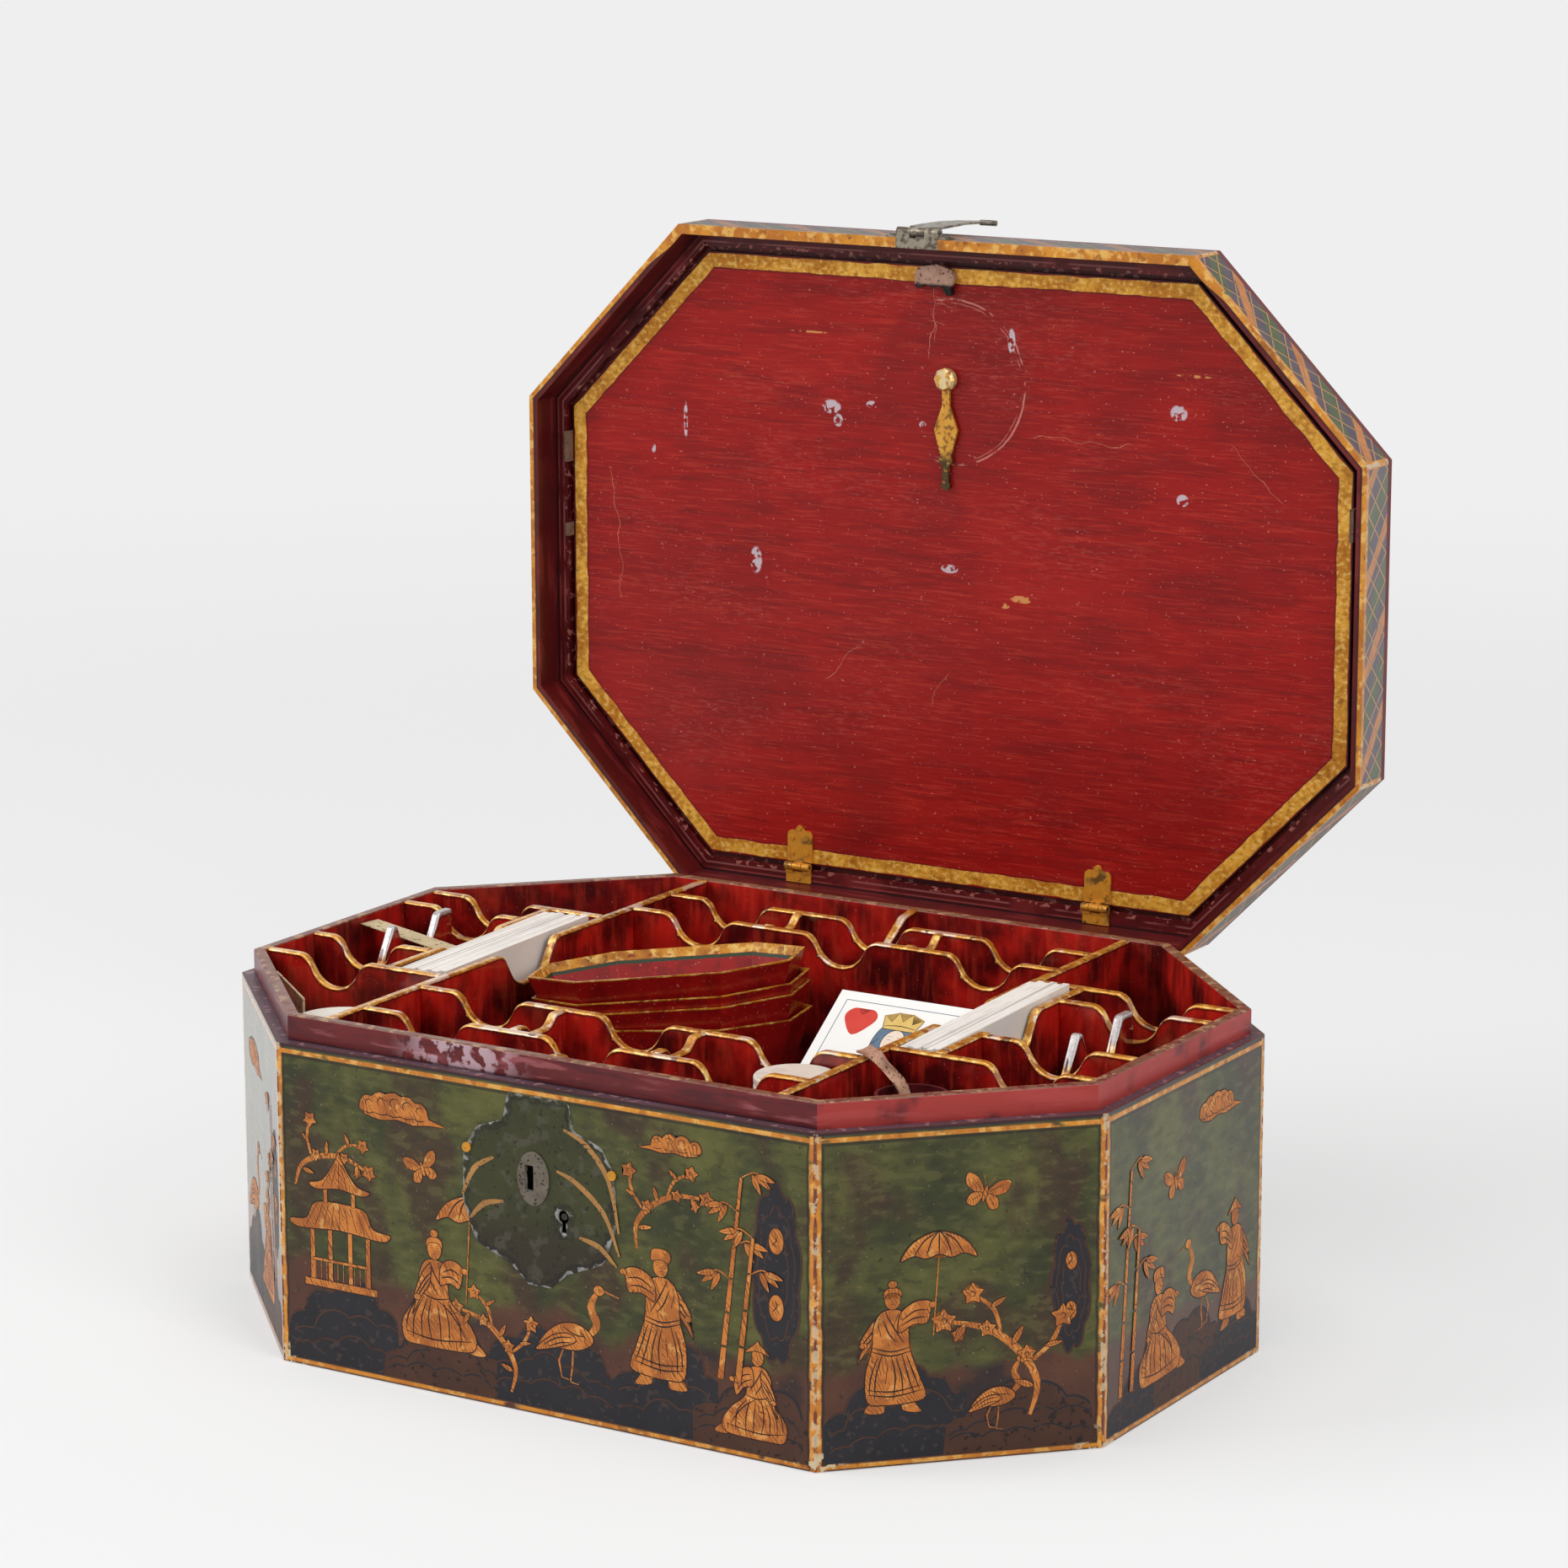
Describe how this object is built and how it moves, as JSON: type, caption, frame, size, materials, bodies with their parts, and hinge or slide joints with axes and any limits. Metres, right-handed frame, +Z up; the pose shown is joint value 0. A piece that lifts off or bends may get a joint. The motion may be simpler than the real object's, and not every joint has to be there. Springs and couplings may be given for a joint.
{
  "type": "game box",
  "caption": "Octagonal lacquered game box with hinged lid, inner flap and lock, divided inside by notched partitions for cards, trays and counters",
  "frame": {"origin": "on the ground under the middle of the case plan, lid left out", "axes": "+X runs right along the front, +Y from the front to the hinges at the back, +Z up"},
  "size_m": [0.36, 0.318, 0.3823],
  "materials": {
    "painted_outside": "painted and gilded lacquer, worn",
    "bottom_wood": "dark bare wood",
    "interior_lacquer": "dark red lacquer, gilded worn edges",
    "flap_lacquer": "red lacquer, scratched",
    "old_brass": "aged, dull",
    "lock_iron": "dark, oiled",
    "leather": "pale worn hide",
    "card": "paper board",
    "tray_lacquer": "red lacquer, gilded rims",
    "bone": "polished bone"
  },
  "bodies": {
    "case": {"bottom_board": "bottom_wood", "wall_front": "painted_outside", "wall_right": "painted_outside", "wall_back": "painted_outside", "wall_left": "painted_outside", "corner_walls": "painted_outside", "lining_boards": "interior_lacquer", "floor_board": "interior_lacquer", "long_partition_left": "interior_lacquer", "long_partition_right": "interior_lacquer", "deck_slot_wall_left": "interior_lacquer", "deck_slot_wall_right": "interior_lacquer", "left_cross_partitions": "interior_lacquer", "right_cross_partitions": "interior_lacquer", "end_dividers": "interior_lacquer", "front_row_partitions": "interior_lacquer", "back_row_partitions": "interior_lacquer", "row_dividers": "interior_lacquer", "lock_case": "lock_iron", "lock_plate": "old_brass", "slot_patch": "old_brass", "plate_studs": "old_brass", "bolt_spring": "lock_iron", "key_pin": "lock_iron", "case_hinge_leaves": "old_brass", "case_hinge_nails": "old_brass", "lid_hinge_pins": "lock_iron"},
    "lid": {"lid_top": "painted_outside", "lid_walls": "painted_outside", "lid_moulding": "interior_lacquer", "lid_hinge_leaves": "old_brass", "lid_hinge_nails": "old_brass", "frame_hinge_leaves": "old_brass", "frame_hinge_nails": "old_brass", "flap_hinge_pins": "lock_iron", "hasp_leaf": "old_brass", "hasp_nails": "old_brass", "hasp_pin": "lock_iron", "paper_wedges": "card"},
    "flap": {"flap_panel": "flap_lacquer", "flap_hinge_leaves": "old_brass", "flap_rivets": "old_brass", "pull_tab": "leather", "catch_nail": "old_brass"},
    "catch": {"turn_catch": "old_brass"},
    "hasp": {"hasp_tongue": "old_brass"},
    "bolt": {"lock_bolt": "lock_iron"},
    "left_deck": {"deck_left": "card"},
    "right_deck": {"deck_right": "card"},
    "card": {"loose_card": "card"},
    "bottom_tray": {"tray_4": "tray_lacquer"},
    "third_tray": {"tray_3": "tray_lacquer"},
    "second_tray": {"tray_2": "tray_lacquer"},
    "top_tray": {"tray_1": "tray_lacquer"},
    "strip": {"paper_strip": "card"},
    "slip": {"paper_slip": "card"},
    "cup": {"round_box": "tray_lacquer", "leather_strap": "leather"},
    "left_counters": {"counters_left": "bone"},
    "right_counters": {"counters_right": "bone"}
  },
  "joints": [
    {"name": "lid_hinge", "type": "hinge", "parent": "case", "child": "lid", "pos_m": [0, 0.13206, 0.1168], "axis": [-1, 0, 0], "range_deg": [-90, 0]},
    {"name": "flap_hinge", "type": "hinge", "parent": "lid", "child": "flap", "pos_m": [0, 0.14346, 0.12996], "axis": [1, 0, 0], "range_deg": [0, 90]},
    {"name": "catch_turn", "type": "hinge", "parent": "flap", "child": "catch", "pos_m": [0.001, 0.14526, 0.32486], "axis": [0, 1, 0], "range_deg": [-150, 150]},
    {"name": "hasp_hinge", "type": "hinge", "parent": "lid", "child": "hasp", "pos_m": [-0.005, 0.13406, 0.38056], "axis": [1, 0, 0], "range_deg": [0, 180]},
    {"name": "bolt_slide", "type": "slide", "parent": "case", "child": "bolt", "axis": [-1, 0, 0], "range_m": [0, 0.008]},
    {"name": "left_deck_lift", "type": "slide", "parent": "case", "child": "left_deck", "axis": [0, 0, 1], "range_m": [0, 0.082]},
    {"name": "right_deck_lift", "type": "slide", "parent": "case", "child": "right_deck", "axis": [0, 0, 1], "range_m": [0, 0.082]},
    {"name": "card_lift", "type": "slide", "parent": "case", "child": "card", "axis": [0, 0, 1], "range_m": [0, 0.082]},
    {"name": "bottom_tray_lift", "type": "slide", "parent": "case", "child": "bottom_tray", "axis": [0, 0, 1], "range_m": [0, 0.082]},
    {"name": "third_tray_lift", "type": "slide", "parent": "bottom_tray", "child": "third_tray", "axis": [0, 0, 1], "range_m": [0, 0.036]},
    {"name": "second_tray_lift", "type": "slide", "parent": "third_tray", "child": "second_tray", "axis": [0, 0, 1], "range_m": [0, 0.036]},
    {"name": "top_tray_lift", "type": "slide", "parent": "second_tray", "child": "top_tray", "axis": [0, 0, 1], "range_m": [0, 0.036]},
    {"name": "strip_lift", "type": "slide", "parent": "case", "child": "strip", "axis": [0, 0, 1], "range_m": [0, 0.082]},
    {"name": "slip_lift", "type": "slide", "parent": "case", "child": "slip", "axis": [0, 0, 1], "range_m": [0, 0.082]},
    {"name": "cup_lift", "type": "slide", "parent": "case", "child": "cup", "axis": [0, 0, 1], "range_m": [0, 0.082]},
    {"name": "left_counters_lift", "type": "slide", "parent": "case", "child": "left_counters", "axis": [0, 0, 1], "range_m": [0, 0.082]},
    {"name": "right_counters_lift", "type": "slide", "parent": "case", "child": "right_counters", "axis": [0, 0, 1], "range_m": [0, 0.082]}
  ]
}
